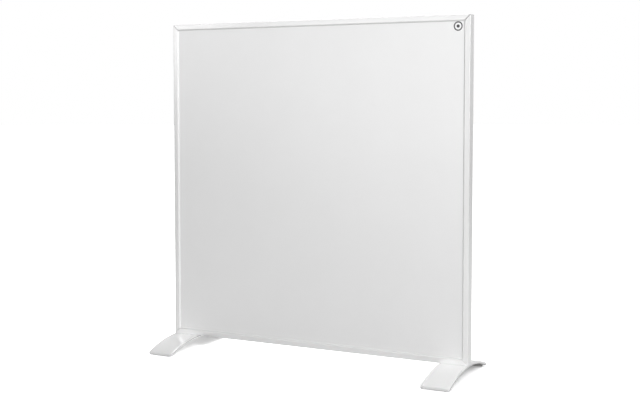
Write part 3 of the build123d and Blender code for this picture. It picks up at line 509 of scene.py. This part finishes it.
# ----------------------------------------------------------------------- badge
def make_badge():
    """Round sticker: a printed ring and a plain dot on a light ground."""
    lo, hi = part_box("badge")
    cx, cz = (lo.x + hi.x) / 2 / MM, (lo.z + hi.z) / 2 / MM
    r = (hi.x - lo.x) / 2 / MM
    y0, y1 = Y_FACE, Y_FACE - 0.22
    n = 96
    bm = bmesh.new()
    rings = [0.0, 2.6, 2.8, r - 2.2, r - 0.08, r]
    loops = []
    for q, rr in enumerate(rings):
        if rr == 0.0:
            loops.append([bm.verts.new((cx * MM, y1 * MM, cz * MM))])
            continue
        yy = y1 if q < len(rings) - 1 else y1 + 0.1
        loops.append([
            bm.verts.new(((cx + rr * cos(2 * pi * i / n)) * MM, yy * MM, (cz + rr * sin(2 * pi * i / n)) * MM))
            for i in range(n)
        ])
    foot = [bm.verts.new(((cx + r * cos(2 * pi * i / n)) * MM, y0 * MM, (cz + r * sin(2 * pi * i / n)) * MM)) for i in range(n)]
    back = bm.verts.new((cx * MM, y0 * MM, cz * MM))
    which = [1, 1, 0, 1, 0]     # material of each band from the middle outwards
    for q in range(len(rings) - 1):
        a, b = loops[q], loops[q + 1]
        for i in range(n):
            if len(a) == 1:
                f = bm.faces.new((a[0], b[i], b[(i + 1) % n]))
            else:
                f = bm.faces.new((a[i], b[i], b[(i + 1) % n], a[(i + 1) % n]))
            f.material_index = which[q]
    for i in range(n):
        f = bm.faces.new((loops[-1][i], foot[i], foot[(i + 1) % n], loops[-1][(i + 1) % n]))
        f.material_index = 0
        f = bm.faces.new((foot[i], back, foot[(i + 1) % n]))
        f.material_index = 0
    o = object_from_bmesh("round_mark", bm, [MAT["badge_ground"], MAT["badge_print"]])
    return place(o, "heater", "badge_print", "badge")


make_badge()


# ---------------------------------------------------------------- mitre strips of painted shade
def make_mitre_shade_strip(name, side):
    """Near-black strip lying deep in the groove of an upper mitre, painted shade that darkens the joint line."""
    section = [(-0.45, -8.33), (-0.45, -8.8), (-0.3, -8.95), (0.0, -9.0), (0.3, -8.95), (0.45, -8.8), (0.45, -8.33)]
    half = sqrt(0.5)
    bm = bmesh.new()
    loops = []
    for along, keep in ((0.7, 0.6), (1.0, 1.0), (13.7, 1.0), (14.0, 0.6)):
        loops.append([
            bm.verts.new((side * (PANEL / 2 + half * (keep * across - along)) * MM, y * MM,
                          (LIFT + PANEL - half * (keep * across + along)) * MM))
            for across, y in section
        ])
    n = len(section)
    for p, q in zip(loops, loops[1:]):
        for i in range(n):
            bm.faces.new((p[i], q[i], q[(i + 1) % n], p[(i + 1) % n]))
    bm.faces.new(loops[0])
    bm.faces.new(loops[-1])
    o = object_from_bmesh(name, bm, [MAT["seal_rubber"]])
    return place(o, "heater", "seal_rubber")


# painted shade: near-black strips in the two upper mitre grooves darken the joint lines
make_mitre_shade_strip("mitre_shade_strip_right", 1)
make_mitre_shade_strip("mitre_shade_strip_left", -1)


# ----------------------------------------------------------------------- floor
def floor_material():
    m, nt, sh, vec = new_material("studio_floor")
    out = next(n for n in nt.nodes if n.type == "OUTPUT_MATERIAL")
    nt.nodes.remove(sh)
    c = noise(nt, vec, 3.0, 3.0)
    lit = nt.nodes.new("ShaderNodeAddShader")
    for k, part in enumerate((1.0, FLOOR_GAIN - 1.0)):
        half = nt.nodes.new("ShaderNodeBsdfDiffuse")
        nt.links.new(ramp(nt, c, [(0.3, (part * 0.996,) * 3), (0.7, (part,) * 3)]), half.inputs["Color"])
        nt.links.new(half.outputs[0], lit.inputs[k])
    # the visible floor fades to plain white away from the nearer foot
    away = nt.nodes.new("ShaderNodeVectorMath")
    away.operation = "DISTANCE"
    away.inputs[1].default_value = (0.3, -0.25, 0.0)
    nt.links.new(vec, away.inputs[0])
    glow = nt.nodes.new("ShaderNodeEmission")
    nt.links.new(remap(nt, away.outputs["Value"], FLOOR_GLOW, 1.0, 0.2, 1.6), glow.inputs["Strength"])
    see = nt.nodes.new("ShaderNodeAddShader")
    nt.links.new(lit.outputs[0], see.inputs[0])
    nt.links.new(glow.outputs[0], see.inputs[1])
    bounce = nt.nodes.new("ShaderNodeBsdfDiffuse")
    bounce.inputs["Color"].default_value = (FLOOR_BOUNCE,) * 3 + (1.0,)
    path = nt.nodes.new("ShaderNodeLightPath")
    mix = nt.nodes.new("ShaderNodeMixShader")
    nt.links.new(path.outputs["Is Camera Ray"], mix.inputs[0])
    nt.links.new(bounce.outputs[0], mix.inputs[1])
    nt.links.new(see.outputs[0], mix.inputs[2])
    nt.links.new(mix.outputs[0], out.inputs[0])
    return m


FLOOR_GAIN = 1.16    # the floor is exposed to white
FLOOR_GLOW = 0.08
FLOOR_BOUNCE = 0.42


def make_floor():
    bm = bmesh.new()
    n, r = 64, 20.0
    rings = [[bm.verts.new((rr * cos(2 * pi * i / n), rr * sin(2 * pi * i / n), 0)) for i in range(n)] for rr in (1.0, 4.0, r)]
    mid = bm.verts.new((0, 0, 0))
    for i in range(n):
        bm.faces.new((mid, rings[0][i], rings[0][(i + 1) % n]))
        for a, b in zip(rings, rings[1:]):
            bm.faces.new((a[i], b[i], b[(i + 1) % n], a[(i + 1) % n]))
    o = object_from_bmesh("studio_floor", bm, [floor_material()])


make_floor()


# -------------------------------------------------------------- world and light
# name: (position, aim, width, height, power)
LIGHTS = {
    "near_right": ((1.1, -0.9, 0.9), (0.2, 0.0, 0.3), 0.6, 0.6, 6.6),
    "upper_right": ((1.3, -1.4, 1.7), (0.1, 0.0, 0.4), 1.0, 1.0, 18.0),
    "low_front": ((0.5, -1.6, 0.5), (0.1, 0.0, 0.3), 0.6, 0.6, 1.5),
    "low_left": ((-0.6, -1.8, 0.6), (0.0, 0.0, 0.3), 0.8, 0.8, 1.4),
    "far_left": ((-1.8, -1.8, 1.0), (0.0, 0.0, 0.4), 0.9, 0.9, 2.6),
    "overhead": ((0.0, 0.0, 2.4), (0.0, 0.0, 0.0), 1.6, 1.6, 4.0),
    "rear_high": ((-0.5, 1.1, 1.7), (0.0, 0.1, 0.0), 1.2, 1.2, 25.0),
}
# soft dome: an even part plus broad lobes (azimuth from the front towards +X, elevation, sharpness, strength)
EVEN = 0.01
LOBES = [
    (-38, 6, 14, 0.75), (10, 6, 14, 0.25), (68, 6, 14, 1.3), (40, 38, 8, 2.5), (90, 38, 8, 0.53),
    (135, 25, 6, 0.46), (-135, 25, 6, 0.53), (180, 25, 6, 0.5),
]


def make_world():
    w = bpy.data.worlds.new("studio")
    w.use_nodes = True
    nt = w.node_tree
    nt.nodes.clear()
    out = nt.nodes.new("ShaderNodeOutputWorld")
    coord = nt.nodes.new("ShaderNodeTexCoord")
    total = None
    for az, el, sharp, strength in LOBES:
        a, e = radians(az), radians(el)
        dot = nt.nodes.new("ShaderNodeVectorMath")
        dot.operation = "DOT_PRODUCT"
        nt.links.new(coord.outputs["Generated"], dot.inputs[0])
        dot.inputs[1].default_value = (sin(a) * cos(e), -cos(a) * cos(e), sin(e))
        facing = nt.nodes.new("ShaderNodeMath")
        facing.operation = "MAXIMUM"
        nt.links.new(dot.outputs["Value"], facing.inputs[0])
        facing.inputs[1].default_value = 0.0
        lobe = nt.nodes.new("ShaderNodeMath")
        lobe.operation = "POWER"
        nt.links.new(facing.outputs[0], lobe.inputs[0])
        lobe.inputs[1].default_value = sharp
        add = nt.nodes.new("ShaderNodeMath")
        add.operation = "MULTIPLY_ADD"
        nt.links.new(lobe.outputs[0], add.inputs[0])
        add.inputs[1].default_value = strength
        if total is None:
            add.inputs[2].default_value = EVEN
        else:
            nt.links.new(total, add.inputs[2])
        total = add.outputs[0]
    lit = nt.nodes.new("ShaderNodeBackground")
    nt.links.new(total, lit.inputs["Strength"])
    seen = nt.nodes.new("ShaderNodeBackground")
    seen.inputs["Color"].default_value = (1, 1, 1, 1)
    path = nt.nodes.new("ShaderNodeLightPath")
    mix = nt.nodes.new("ShaderNodeMixShader")
    nt.links.new(path.outputs["Is Camera Ray"], mix.inputs[0])
    nt.links.new(lit.outputs[0], mix.inputs[1])
    nt.links.new(seen.outputs[0], mix.inputs[2])
    nt.links.new(mix.outputs[0], out.inputs[0])
    bpy.context.scene.world = w


make_world()


def make_light(name, pos, aim, sx, sy, power):
    d = bpy.data.lights.new(name, "AREA")
    d.shape = "RECTANGLE"
    d.size, d.size_y = sx, sy
    d.energy = power
    o = bpy.data.objects.new(name, d)
    bpy.context.scene.collection.objects.link(o)
    o.location = pos
    o.rotation_euler = (Vector(aim) - Vector(pos)).to_track_quat("-Z", "Y").to_euler()
    o.visible_camera = False
    return o


for light_name, spec in LIGHTS.items():
    make_light(light_name, *spec)
